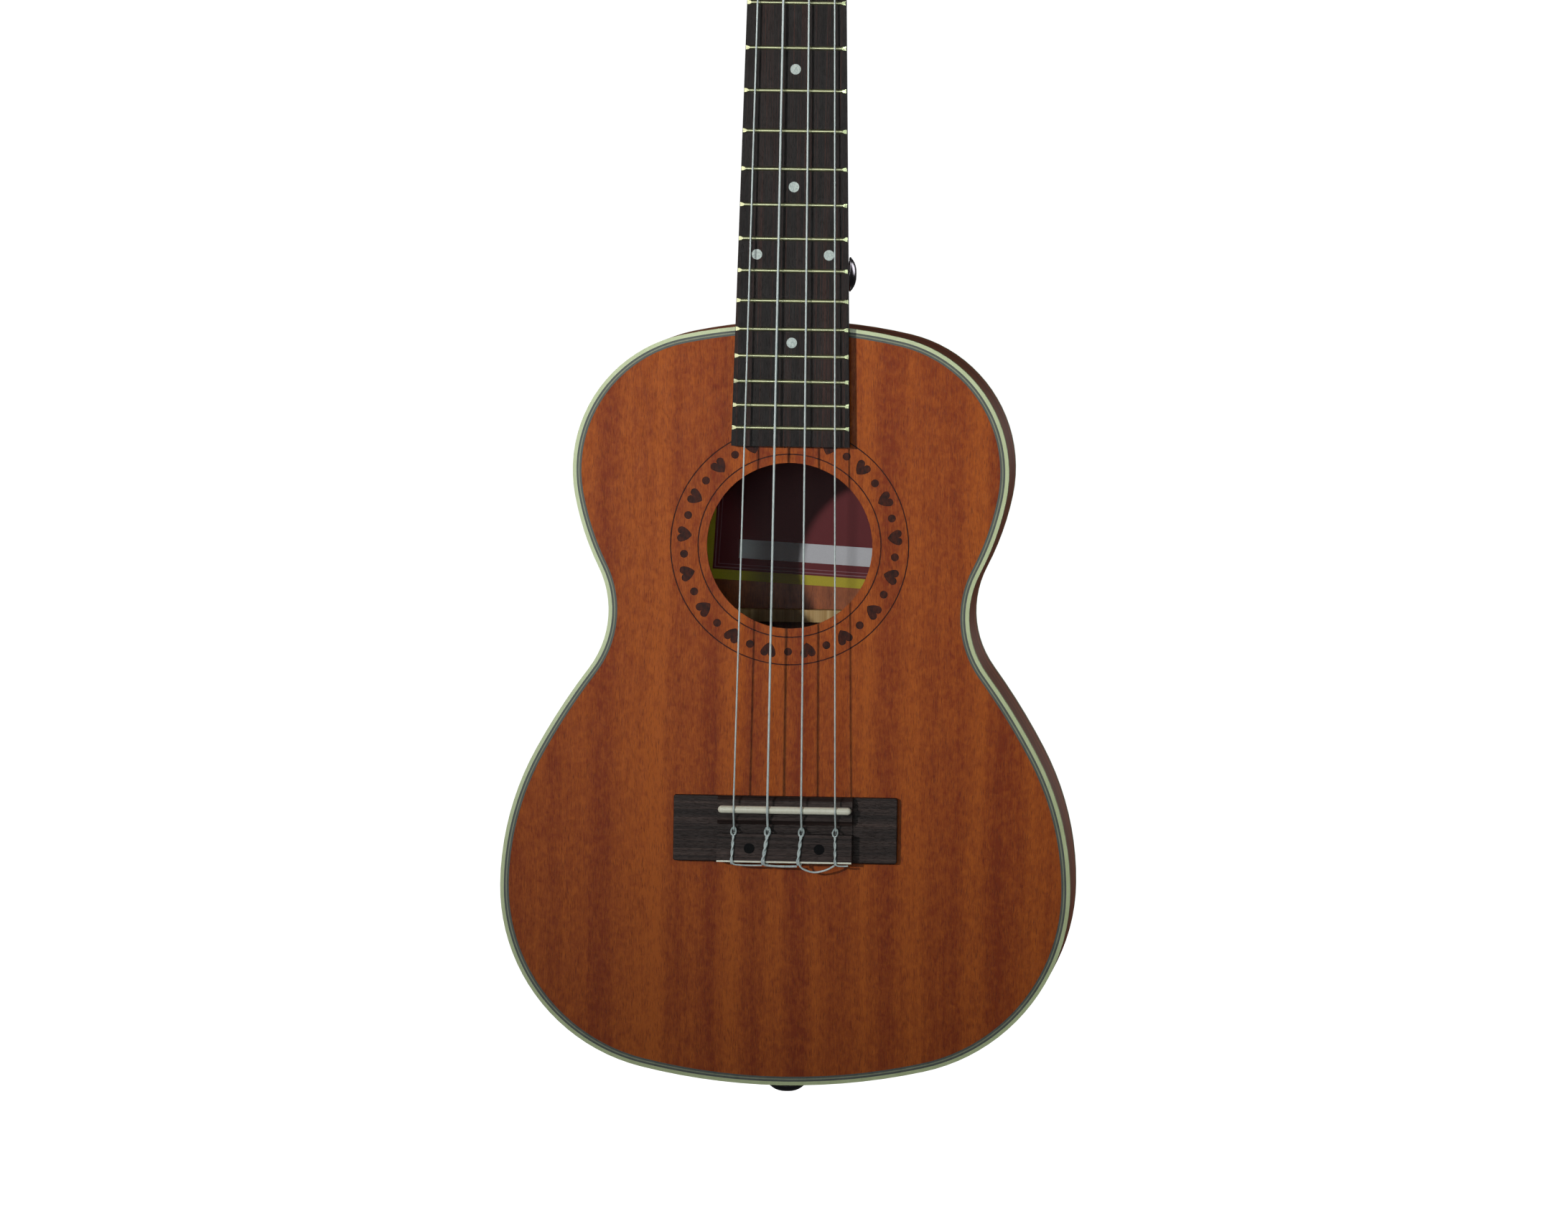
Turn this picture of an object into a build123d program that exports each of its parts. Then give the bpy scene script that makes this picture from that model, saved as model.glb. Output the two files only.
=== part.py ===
from build123d import *
import math
import os

# A tenor ukulele, in millimetres. X runs across the strings (bass side negative), Y runs from the
# soundboard to the back, Z runs up the neck. The origin is on the centre line, at the string end of the
# nut, in the plane where the fretboard is glued to the neck and the soundboard.

# Scale and fretboard
SCALE_LENGTH = 432.0
FRET_COUNT = 18
BODY_FRET = 14
FRETBOARD_THICK = 5.0
FRETBOARD_LENGTH = 286.7
NUT_WIDTH = 35.0
BOARD_TAPER = 0.0443  # growth in width per millimetre of length
NUT_THICK = 5.0
NUT_HEIGHT = 7.4
FRET_RADIUS = 0.85
FRET_CROWN = 0.8
FRET_BEVEL = 21.5
FRET_TANG = (0.5, 1.8)  # thickness, depth
DOT_FRETS = {5: (0.0,), 7: (0.0,), 10: (0.0,), 12: (-14.5, 14.5), 15: (0.0,)}
DOT_RADIUS = 2.1
DOT_DEPTH = 1.2
SIDE_DOT_RADIUS = 1.0

# Body. Each arc of half the outline is (radius, sweep in degrees) from the tail to the neck. A negative
# radius is the concave waist, and the last arc closes square on the centre line.
TAIL_Z = -SCALE_LENGTH - 112.7
OUTLINE_ARCS = [
    (252.6, 13.1), (74.8, 77.0), (116.3, 28.2), (268.5, 8.3), (-38.8, 63.4), (113.0, 15.8), (55.6, 88.6),
]
BODY_DEPTH = 66.0
PLATE_THICK = 2.2
RIB_THICK = 1.5
BINDING_DEPTH = 5.0
PURFLING_LINES = (0.75, 0.5, 0.75)  # black, white, black
PURFLING_DEPTH = 1.2
LINING_WIDTH = 5.0
LINING_DEPTH = 10.0
NECK_BLOCK = (48.0, 22.0)  # width, length
TAIL_BLOCK = (56.0, 13.0)

# Soundhole and its burnt ring of hearts and dots
HOLE_Z = -326.8
HOLE_RADIUS = 33.4
ENGRAVED_CIRCLES = (36.9, 48.0)
ENGRAVED_WIDTH = 0.5
ENGRAVED_DEPTH = 0.25
MOTIF_COUNT = 17
MOTIF_RADIUS = 42.7
HEART_SIZE = 6.2
RING_DOT_RADIUS = 1.6
LABEL_SIZE = (76.0, 56.0, 0.2)
LABEL_CENTRE = (0.0, -317.2)
LABEL_TILT = -3.0
TOP_BRACES = (-281.0, -370.0)
TOP_BRACE = (8.0, 10.0)  # width, height
FAN_BRACES = (-30.0, 0.0, 30.0)
FAN_BRACE = (5.0, 7.0)
BACK_BRACES = (-275.0, -357.7, -452.0)
BACK_BRACE = (5.0, 10.0)
BRIDGE_PLATE = ((-55.0, 55.0), (-463.0, -425.0), 1.8)  # x, z, thickness

# Bridge, saddle and strings. A string's entry is its place in string spacings, and its diameter.
BRIDGE_TOP_Z = -427.7
BRIDGE_SIZE = (90.3, 26.6, 3.0)  # width, length, wing height
BRIDGE_CENTRE = (54.4, 6.8)  # width, height
SADDLE_Z = -433.0
SADDLE_SIZE = (53.7, 3.0)
SADDLE_TOP = -10.2
CHANNEL_Z = (-438.9, -442.7)
CHANNEL_HEIGHT = 3.6
TIE_BLOCK_HEIGHT = 8.2
TIE_HOLE_Y = -5.6
EDGING = 0.7
BOLT_X = 14.1
BOLT_Z = -448.6
CAP_RADIUS = 2.1
STRINGS = {"g": (-1.5, 0.72), "c": (-0.5, 0.95), "e": (0.5, 0.82), "a": (1.5, 0.66)}
SADDLE_PITCH = 13.65
NUT_PITCH = 9.2
NUT_STRING_Y = -6.3
STRING_BENDS = (3.0, 2.1, 3.0)  # above the tie block's hole, over the saddle, over the nut

# Neck and headstock
NECK_DEPTH = (14.5, 16.0)  # at the nut, at the heel
HEEL_SECTIONS = [  # depth, half width, straight length
    (0.5, 21.5, 46.0), (16.0, 20.8, 33.0), (30.0, 19.0, 25.0), (46.0, 16.5, 21.0), (64.0, 14.0, 19.0),
]
DOWEL_RADIUS = 4.0
HEAD_ANGLE = 12.0
HEAD_FACE_Y = 1.0
HEAD_THICK = 12.5
VENEER_THICK = 1.5
HEAD_LENGTH = 116.0
HEAD_WIDTH = (35.6, 54.0, 60.0)  # at the nut, at the shoulder, at the top
HEAD_SHOULDER = 24.0
COVE_RADIUS = 18.0

# Tuners, in the headstock's own frame: x across, v up the head, w out of its face
POST_X = 17.0
POST_ROWS = {"near": 40.0, "far": 84.0}
TUNERS = {"g": (-1, "near"), "c": (-1, "far"), "e": (1, "far"), "a": (1, "near")}
POST_RADIUS = 3.0
POST_TOP = 14.5
RUNNING_GAP = 0.05
BUSHING_RADIUS = 4.5
TUNER_PLATE = 1.0
GEAR_TEETH = 14
GEAR_MODULE = 0.6
GEAR_THICK = 4.0
GEAR_GAP = 0.7
WORM_PITCH_RADIUS = 2.0
WORM_RADII = (1.3, 2.5)
JOURNAL_RADIUS = 1.5
EAR_X = 5.3
EAR_THICK = 1.2
WINDING_W = (4.0, 8.2)
BUTTON_START = 14.6  # from the post's axis
SCREW_V = (8.4, -12.8)

# Strap buttons
BUTTON_HEIGHT = 5.0
BUTTON_RADIUS = 7.0
STRAP_SEAT = 3.2
HEEL_BUTTON = (18.6, 30.0, -217.8)

# Worked out from the sizes above
BACK_Y = BODY_DEPTH
EDGE_Y = BODY_DEPTH - BINDING_DEPTH
INNER_BACK_Y = BODY_DEPTH - PLATE_THICK
PLATE_W = -HEAD_THICK - TUNER_PLATE
GEAR_W = (PLATE_W - GEAR_GAP - GEAR_THICK, PLATE_W - GEAR_GAP)
WORM_W = (GEAR_W[0] + GEAR_W[1]) / 2
GEAR_PITCH_RADIUS = GEAR_TEETH * GEAR_MODULE / 2
WORM_V = -(GEAR_PITCH_RADIUS + WORM_PITCH_RADIUS)
WORM_LEAD = math.pi * GEAR_MODULE
WORM_HALF = 2 * WORM_LEAD


def fret_z(number):
    return -SCALE_LENGTH * (1 - 2 ** (-number / 12))


def board_width(z):
    return NUT_WIDTH - BOARD_TAPER * z


def block(x, y, z):
    """A box from its limits along each axis."""
    centre = Pos((x[0] + x[1]) / 2, (y[0] + y[1]) / 2, (z[0] + z[1]) / 2)
    return centre * Box(abs(x[1] - x[0]), abs(y[1] - y[0]), abs(z[1] - z[0]))


def rod(start, end, radius):
    """A cylinder between two points."""
    axis = Vector(*end) - Vector(*start)
    return extrude(Plane(origin=start, z_dir=axis) * Circle(radius), amount=axis.length)


def slab(face, front, back):
    """A face drawn in (x, z), given thickness along Y."""
    return Pos(0, front, 0) * extrude(Plane.XZ * face, amount=back - front, dir=(0, 1, 0))


# ---------------------------------------------------------------- body outline


def half_outline(inset):
    """Tangent arcs from the tail to the neck, parallel to the outline at the inset."""
    point, heading, edges = Vector(0, TAIL_Z + inset), 0.0, []
    for radius, sweep in OUTLINE_ARCS:
        direction = (math.cos(math.radians(heading)), math.sin(math.radians(heading)))
        turn = math.copysign(sweep, radius)
        arc = JernArc(point, direction, abs(radius - inset), turn)
        edges.append(arc)
        point, heading = arc @ 1, heading + turn
    radius = point.X / math.sin(math.radians(heading))
    direction = (math.cos(math.radians(heading)), math.sin(math.radians(heading)))
    edges.append(JernArc(point, direction, radius, 180 - heading))
    return edges


def outline(inset=0.0):
    half = half_outline(inset)
    return make_face(half + [mirror(edge, about=Plane.YZ) for edge in half])


def body_ring(outer, inner, front, back):
    return slab(outline(outer) - outline(inner), front, back)


def end_blocks():
    cavity = slab(outline(RIB_THICK), PLATE_THICK, INNER_BACK_Y)
    top_z = half_outline(0)[-1].position_at(1).Y
    neck = block((-NECK_BLOCK[0] / 2, NECK_BLOCK[0] / 2), (0, BACK_Y), (top_z - NECK_BLOCK[1], top_z + 1))
    tail = block((-TAIL_BLOCK[0] / 2, TAIL_BLOCK[0] / 2), (0, BACK_Y), (TAIL_Z - 1, TAIL_Z + TAIL_BLOCK[1]))
    return cavity & neck, cavity & tail


# ---------------------------------------------------------------- soundboard


def heart(size):
    """A heart with its point towards -Y of the sketch, as wide as its size."""
    lobe = size / 4
    tip, waist = (0, -size * 0.5), (size / 2, size * 0.16)
    right = [
        ThreePointArc((0, size * 0.2), (lobe, size * 0.2 + lobe), waist),
        ThreePointArc(waist, (size * 0.33, -size * 0.2), tip),
    ]
    return make_face(right + [mirror(edge, about=Plane.YZ) for edge in right])


def ring_motifs():
    """Hearts that point at the soundhole's centre, with a dot between each two."""
    step = 360 / MOTIF_COUNT
    faces = []
    for count in range(MOTIF_COUNT):
        faces.append(Rot(0, 0, count * step) * Pos(0, MOTIF_RADIUS) * heart(HEART_SIZE))
        faces.append(Rot(0, 0, (count + 0.5) * step) * Pos(0, MOTIF_RADIUS) * Circle(RING_DOT_RADIUS))
    for radius in ENGRAVED_CIRCLES:
        faces.append(Circle(radius + ENGRAVED_WIDTH / 2) - Circle(radius - ENGRAVED_WIDTH / 2))
    return [Pos(0, HOLE_Z) * face for face in faces]


def soundboard():
    purfling = sum(PURFLING_LINES)
    plate = slab(outline(RIB_THICK) - Pos(0, HOLE_Z) * Circle(HOLE_RADIUS), 0, PLATE_THICK)
    plate -= body_ring(RIB_THICK, RIB_THICK + purfling, -1, PURFLING_DEPTH)
    for face in ring_motifs():
        plate -= slab(face, -1, ENGRAVED_DEPTH)
    for side in (-1, 1):
        plate -= rod((side * BOLT_X, -1, BOLT_Z), (side * BOLT_X, 4, BOLT_Z), 1.25)
    return plate


def purfling_lines():
    lines, inset = [], RIB_THICK
    for width in PURFLING_LINES:
        lines.append(body_ring(inset, inset + width, 0, PURFLING_DEPTH))
        inset += width
    return lines


def brace(start, end, width, height, board_y, into):
    """A strut with a rounded-off top, glued on its foot along a line in (x, z)."""
    run = Vector(end[0] - start[0], end[1] - start[1])
    middle = ((start[0] + end[0]) / 2, (start[1] + end[1]) / 2)
    taper = min(height * 3, run.length / 4)
    side = Polyline(
        (-run.length / 2, 0), (run.length / 2, 0), (run.length / 2, 2), (run.length / 2 - taper, height),
        (-run.length / 2 + taper, height), (-run.length / 2, 2), close=True,
    )
    across = (-run.Y * into, 0, run.X * into)
    plane = Plane(origin=(middle[0], board_y, middle[1]), x_dir=(run.X, 0, run.Y), z_dir=across)
    return extrude(plane * make_face(side), amount=width / 2, both=True)


def soundboard_struts(plate):
    inside = slab(outline(RIB_THICK + LINING_WIDTH + 0.5), PLATE_THICK, BACK_Y)
    bars = [brace((-110, z), (110, z), *TOP_BRACE, PLATE_THICK, 1) for z in TOP_BRACES]
    start = TOP_BRACES[1] - TOP_BRACE[0] / 2 - 2
    fans = [brace((x * 0.6, start), (x * 1.5, -522), *FAN_BRACE, PLATE_THICK, 1) for x in FAN_BRACES]
    return [bar & inside for bar in bars], [(bar & inside) - plate for bar in fans]


# ---------------------------------------------------------------- neck


def half_round(width, depth, z):
    """The neck's section: flat under the fretboard, half an ellipse behind."""
    arc = EllipticalCenterArc((0, 0), width / 2, depth, arc_size=180)
    return Pos(0, 0, z) * make_face([arc, Line((-width / 2, 0), (width / 2, 0))])


def heel_face(half, straight):
    """The heel's section, open towards the body and round at its nose, in (x, z)."""
    foot = fret_z(BODY_FRET) - 2.5
    nose = foot + straight
    return make_face([
        Line((half, foot), (half, nose)),
        ThreePointArc((half, nose), (0, nose + half * 0.9), (-half, nose)),
        Line((-half, nose), (-half, foot)),
        Line((-half, foot), (half, foot)),
    ])


def build_heel():
    return loft([Pos(0, y, 0) * (Plane.XZ * heel_face(half, straight)) for y, half, straight in HEEL_SECTIONS])


def build_shaft():
    foot, head = fret_z(BODY_FRET) - 4, NUT_THICK + 5
    return loft([
        half_round(board_width(foot) - 0.1, NECK_DEPTH[1], foot),
        half_round(board_width(head) - 0.1, NECK_DEPTH[0], head),
    ])


def head_frame():
    lean = math.radians(HEAD_ANGLE)
    return Plane(
        origin=(0, HEAD_FACE_Y, NUT_THICK), x_dir=(1, 0, 0), z_dir=(0, -math.cos(lean), math.sin(lean))
    )


def head_outline():
    """The headstock's outline in its own frame, from below the nut to its crown."""
    foot, shoulder, top = (width / 2 for width in HEAD_WIDTH)
    side = [
        Line((0, -30), (foot, -30)),
        Line((foot, -30), (foot, 1)),
        Spline((foot, 1), (shoulder, HEAD_SHOULDER), tangents=[(0, 1), (0.08, 1)]),
        Line((shoulder, HEAD_SHOULDER), (top, HEAD_LENGTH - 12)),
        ThreePointArc((top, HEAD_LENGTH - 12), (top - 2.6, HEAD_LENGTH - 5.2), (top - 9, HEAD_LENGTH - 2.5)),
        ThreePointArc((top - 9, HEAD_LENGTH - 2.5), (top - 20, HEAD_LENGTH - 3), (0, HEAD_LENGTH)),
    ]
    return make_face(side + [mirror(edge, about=Plane.YZ) for edge in side])


def build_paddle(frame):
    """The headstock's board, with a cove at its foot behind the nut."""
    foot = -COVE_RADIUS * 0.7
    paddle = frame * extrude(head_outline(), amount=-HEAD_THICK)
    paddle &= block((-40, 40), (0, 60), (foot, 200))
    return paddle - rod((-40, COVE_RADIUS, foot), (40, COVE_RADIUS, foot), COVE_RADIUS)


def build_neck(frame):
    """The shaft with its heel, and the headstock that is scarfed on along the plane of its own back."""
    beyond_nut = block((-40, 40), (-5, 60), (NUT_THICK, 60))
    in_front = frame * Pos(0, 0, 25) * Box(200, 400, 50)
    wood = build_shaft() + build_heel() - (in_front & beyond_nut) + build_paddle(frame)
    scarf = frame * Pos(0, 0, 100 - HEAD_THICK) * Box(200, 400, 200)
    scarf &= block((-60, 60), (-50, 100), (-66, 200))
    return wood - scarf - slab(outline(), -1, BACK_Y + 1), wood & scarf


def neck_dowels():
    foot = fret_z(BODY_FRET)
    return [rod((0, y, foot - 18), (0, y, foot + 16), DOWEL_RADIUS) for y in (18, 44)]


def heel_cap():
    _, half, straight = HEEL_SECTIONS[-1]
    return slab(heel_face(half, straight), HEEL_SECTIONS[-1][0], BACK_Y) - slab(outline(), 0, BACK_Y + 1)


# ---------------------------------------------------------------- fretboard


def fret_wire(z):
    """A half-round crown with its ends filed to a bevel, on a tang."""
    half = board_width(z) / 2 - 0.15
    surface = -FRETBOARD_THICK
    axis_y = surface + FRET_RADIUS - FRET_CROWN
    inner = half - FRET_RADIUS
    bar = rod((-half, axis_y, z), (half, axis_y, z), FRET_RADIUS)
    for side in (-1, 1):
        foot = Pos(side * half, surface - 0.1, z) * Rot(0, 0, side * FRET_BEVEL)
        bar -= foot * block((-5, 5), (-5, 0), (-2, 2))
    crown = bar & block((-40, 40), (surface - 2, surface), (z - 2, z + 2))
    thick, depth = FRET_TANG
    return crown + block((-inner, inner), (surface, surface + depth), (z - thick / 2, z + thick / 2))


def position_dots():
    """Round inlays between the frets, and small ones on the edge that faces the player."""
    dots = []
    for fret, places in DOT_FRETS.items():
        z = (fret_z(fret) + fret_z(fret - 1)) / 2
        front = -FRETBOARD_THICK
        dots += [rod((x, front, z), (x, front + DOT_DEPTH, z), DOT_RADIUS) for x in places]
        edge = -board_width(z) / 2
        pair = (-3.0, 3.0) if fret == 12 else (0.0,)
        dots += [rod((edge - 1, -2.2, z + up), (edge + 1.5, -2.2, z + up), SIDE_DOT_RADIUS) for up in pair]
    return dots


def board_blank():
    end = -FRETBOARD_LENGTH
    near, far = board_width(0) / 2, board_width(end) / 2
    corners = Polyline((-near, 0), (near, 0), (far, end), (-far, end), close=True)
    return slab(make_face(corners), -FRETBOARD_THICK, 0)


# ---------------------------------------------------------------- strings


def string_route(name, frame):
    """From the loop on the tie block, through its hole, over the saddle and the nut, to the post."""
    count, diameter = STRINGS[name]
    side, row = TUNERS[name]
    x = count * SADDLE_PITCH
    rear = BRIDGE_TOP_Z - BRIDGE_SIZE[1] - diameter / 2 - 0.15
    top = -TIE_BLOCK_HEIGHT - diameter / 2 - 0.1
    wound = POST_RADIUS + 1.5 * diameter + 0.15
    post = frame.from_local_coords(
        Vector(side * (POST_X - wound), POST_ROWS[row], WINDING_W[0] + diameter)
    )
    return [
        Vector(x, top, CHANNEL_Z[1] + 1.2),
        Vector(x, top, rear),
        Vector(x, TIE_HOLE_Y, rear),
        Vector(x, TIE_HOLE_Y, CHANNEL_Z[1] + 1.4),
        Vector(x, SADDLE_TOP - diameter / 2 - 0.15, SADDLE_Z - 0.55),
        Vector(count * NUT_PITCH, NUT_STRING_Y - diameter / 2, NUT_THICK / 2),
        post,
    ]


def string_wire(name, frame):
    points = string_route(name, frame)
    loop = STRINGS[name][1] / 2 + 0.35
    path = FilletPolyline(*points, radius=(loop, loop) + STRING_BENDS)
    start = Plane(origin=path @ 0, z_dir=path % 0)
    return sweep(start * Circle(STRINGS[name][1] / 2), path=path)


def groove(start, end, radius):
    """A slot with a round floor, open towards the front."""
    axis = end - start
    plane = Plane(origin=start, x_dir=(1, 0, 0), z_dir=axis)
    return extrude(plane * (Circle(radius) + Pos(0, -3) * Rectangle(2 * radius, 6)), amount=axis.length)


def nut(frame):
    body = block((-NUT_WIDTH / 2, NUT_WIDTH / 2), (-NUT_HEIGHT, 0), (0, NUT_THICK))
    body = fillet(body.edges().filter_by(Axis.X).group_by(Axis.Y)[0], 1.2)
    for name, (_, diameter) in STRINGS.items():
        saddle, top, post = string_route(name, frame)[4:7]
        for end in (saddle, post):
            reach = top + (end - top).normalized() * 6
            body -= groove(top, reach, diameter / 2 + 0.12)
    return body


# ---------------------------------------------------------------- bridge


def bridge():
    width, length, wing = BRIDGE_SIZE
    centre, height = BRIDGE_CENTRE
    rear = BRIDGE_TOP_Z - length
    foot = block((-width / 2, width / 2), (-wing, 0), (rear, BRIDGE_TOP_Z))
    foot = fillet(foot.edges().filter_by(Axis.Y), 1.0)
    foot = fillet(foot.edges().group_by(Axis.Y)[0], 0.4)
    raised = block((-centre / 2, centre / 2), (-height, -wing), (CHANNEL_Z[0], BRIDGE_TOP_Z))
    rims = raised.edges().filter_by(Axis.X).group_by(Axis.Y)[0]
    raised = chamfer(rims, 1.6)
    channel = block((-centre / 2, centre / 2), (-CHANNEL_HEIGHT, -wing), CHANNEL_Z)
    tie = block((-centre / 2, centre / 2), (-TIE_BLOCK_HEIGHT, -wing), (rear, CHANNEL_Z[1]))
    solid = foot + raised + channel + tie
    for count, diameter in STRINGS.values():
        x = count * SADDLE_PITCH
        solid -= rod((x, TIE_HOLE_Y, rear - 1), (x, TIE_HOLE_Y, CHANNEL_Z[1] + 1), diameter / 2 + 0.12)
    return solid - saddle_blank(0) - edging_strip() - [bolt(-1), bolt(1), cap(-1), cap(1)]


def saddle_blank(crown):
    width, thick = SADDLE_SIZE
    blank = Pos(0, 0, SADDLE_Z) * slab(SlotOverall(width, thick), SADDLE_TOP, -2.4)
    return fillet(blank.edges().group_by(Axis.Y)[0], crown) if crown else blank


def edging_strip():
    rear = BRIDGE_TOP_Z - BRIDGE_SIZE[1]
    half = BRIDGE_CENTRE[0] / 2
    return block((-half, half), (-TIE_BLOCK_HEIGHT, -TIE_BLOCK_HEIGHT + EDGING), (rear, rear + EDGING))


def cap(side):
    x = side * BOLT_X
    return rod((x, -TIE_BLOCK_HEIGHT - 0.3, BOLT_Z), (x, -TIE_BLOCK_HEIGHT + 1.0, BOLT_Z), CAP_RADIUS)


def bolt(side):
    """A cheese-head bolt under its cap, through the soundboard and its plate."""
    x = side * BOLT_X
    head = rod((x, -TIE_BLOCK_HEIGHT + 1.0, BOLT_Z), (x, -TIE_BLOCK_HEIGHT + 2.8, BOLT_Z), CAP_RADIUS)
    return head + rod((x, -TIE_BLOCK_HEIGHT + 2.8, BOLT_Z), (x, 8.5, BOLT_Z), 1.25)


def bolt_nut(side, seat):
    frame = Plane(origin=(side * BOLT_X, seat, BOLT_Z), x_dir=(1, 0, 0), z_dir=(0, 1, 0))
    hexagon = extrude(frame * RegularPolygon(2.9, 6), amount=2.2)
    washer = extrude(frame * Circle(3.6), amount=0.5)
    return washer + Pos(0, 0.5, 0) * hexagon - bolt(side)


# ---------------------------------------------------------------- tuners


def post_place(name, frame):
    """Where a post stands, drawn on the treble side; the bass side is its mirror image."""
    return frame * Pos(POST_X, POST_ROWS[TUNERS[name][1]], 0)


def sided(name, shape):
    return mirror(shape, about=Plane.YZ) if TUNERS[name][0] < 0 else shape


def shank(v, w0, w1, radius):
    return rod((0, v, w0), (0, v, w1), radius)


def post():
    body = shank(0, GEAR_W[0], POST_TOP, POST_RADIUS)
    body = chamfer(body.edges().sort_by(Axis.Z)[-1], 0.6)
    hole = rod((-5, 0, WINDING_W[1] + 1.6), (5, 0, WINDING_W[1] + 1.6), 0.8)
    return body - hole - gear_screw()


def gear_screw():
    head = shank(0, GEAR_W[0] - 1.6, GEAR_W[0], 2.9)
    slot = Pos(0, 0, GEAR_W[0] - 1.6) * Box(8, 0.8, 1.4)
    return head - slot + shank(0, GEAR_W[0], GEAR_W[0] + 6, 1.2)


def gear():
    """A worm wheel whose teeth lean with the worm's thread, with a gap facing the worm."""
    root, tip = GEAR_PITCH_RADIUS - 0.75, GEAR_PITCH_RADIUS + 0.55
    tooth = Polyline((-0.48, -root + 0.4), (0.48, -root + 0.4), (0.22, -tip), (-0.22, -tip), close=True)
    lead = math.degrees(math.atan(WORM_LEAD / (2 * math.pi * WORM_PITCH_RADIUS)))
    prism = Rot(0, lead, 0) * extrude(make_face(tooth), amount=GEAR_THICK, both=True)
    wheel = Pos(0, 0, WORM_W) * Cylinder(root, GEAR_THICK)
    step = 360 / GEAR_TEETH
    teeth = [Pos(0, 0, WORM_W) * Rot(0, 0, (number + 0.5) * step) * prism for number in range(GEAR_TEETH)]
    faces = Pos(0, 0, WORM_W) * Cylinder(tip + 1, GEAR_THICK)
    return (wheel + teeth) & faces - shank(0, -40, 0, POST_RADIUS)


def thread():
    """Four turns of a right-hand trapezoidal thread along Z, starting towards X."""
    core, tip = WORM_RADII
    path = Helix(pitch=WORM_LEAD, height=2 * WORM_HALF, radius=core, center=(0, 0, -WORM_HALF))
    section = Polyline((-0.25, -0.5), (tip - core, -0.24), (tip - core, 0.24), (-0.25, 0.5), close=True)
    start = Plane(origin=path @ 0, x_dir=(1, 0, 0), z_dir=path % 0)
    return sweep(start * make_face(section), path=path, is_frenet=True)


def worm_shaft():
    worm = Plane(origin=(0, WORM_V, WORM_W), x_dir=(0, 1, 0), z_dir=(1, 0, 0))
    inner, outer = EAR_X - 0.05, BUTTON_START
    shaft = Cylinder(WORM_RADII[0], 2 * inner) + thread()
    for side in (-1, 1):
        shaft += Pos(0, 0, side * (inner - 0.3)) * Cylinder(2.2, 0.6)
    shaft += rod((0, 0, inner), (0, 0, outer), JOURNAL_RADIUS)
    shaft += rod((0, 0, -inner), (0, 0, -EAR_X - EAR_THICK - 0.5), JOURNAL_RADIUS)
    shaft += Pos(0, 0, outer + 3) * Box(2.6, 2.0, 6)
    return worm * shaft


def tuner_button():
    """An oval grip with a collar, squared on to the shaft's end."""
    grip = extrude(Pos(BUTTON_START + 8.2, 0) * Ellipse(7.4, 8.6), amount=3.6, both=True)
    grip = fillet(grip.edges(), 3.0)
    collar = rod((BUTTON_START, 0, 0), (BUTTON_START + 3, 0, 0), 2.9)
    tang = Pos(BUTTON_START + 3, 0, 0) * Box(6, 2.6, 2.0)
    return Pos(0, WORM_V, WORM_W) * (grip + collar - tang)


def tuner_plate():
    """A flat plate with an ear at each end of the worm."""
    low, high = SCREW_V[1] - 3.4, SCREW_V[0] + 3.4
    face = Pos(0, (low + high) / 2) * RectangleRounded(2 * (EAR_X + EAR_THICK), high - low, 2.5)
    plate = Pos(0, 0, PLATE_W) * extrude(face, amount=TUNER_PLATE)
    ear = Pos(WORM_V, WORM_W) * Circle(3.0) + Pos(WORM_V, WORM_W + 1.3) * Rectangle(6, 2.6)
    for x in (-EAR_X - EAR_THICK, EAR_X):
        plate += extrude(Plane(origin=(x, 0, 0), x_dir=(0, 1, 0), z_dir=(1, 0, 0)) * ear, amount=EAR_THICK)
    plate -= rod((-9, WORM_V, WORM_W), (9, WORM_V, WORM_W), JOURNAL_RADIUS + RUNNING_GAP)
    return plate - shank(0, -40, 0, POST_RADIUS + RUNNING_GAP) - [plate_screw(v) for v in SCREW_V]


def plate_screw(v):
    head = fillet(shank(v, PLATE_W - 1.3, PLATE_W, 2.3).edges().sort_by(Axis.Z)[0], 0.8)
    slot = Pos(0, v, PLATE_W - 1.3) * Box(6, 0.6, 1.2)
    return head - slot + shank(v, PLATE_W, PLATE_W + 8, 1.1)


def bushing():
    flange = shank(0, VENEER_THICK, VENEER_THICK + 1.2, 5.6)
    flange = chamfer(flange.edges().sort_by(Axis.Z)[-1], 0.4)
    return flange + shank(0, -7, VENEER_THICK, BUSHING_RADIUS) - shank(0, -40, 40, POST_RADIUS + RUNNING_GAP)


def winding(diameter):
    """The wraps of a string on its post, as one ridged sleeve."""
    low, high = WINDING_W
    turns = int((high - low) / diameter)
    pitch = (high - low) / turns
    inner, valley, crest = POST_RADIUS, POST_RADIUS + 0.35 * diameter, POST_RADIUS + diameter
    edges = [Line((inner, 0, high), (inner, 0, low)), Line((inner, 0, low), (valley, 0, low))]
    for turn in range(turns):
        foot = low + turn * pitch
        edges.append(ThreePointArc((valley, 0, foot), (crest, 0, foot + pitch / 2), (valley, 0, foot + pitch)))
    edges.append(Line((valley, 0, high), (inner, 0, high)))
    return revolve(make_face(edges), axis=Axis.Z)


# ---------------------------------------------------------------- strap buttons


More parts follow.
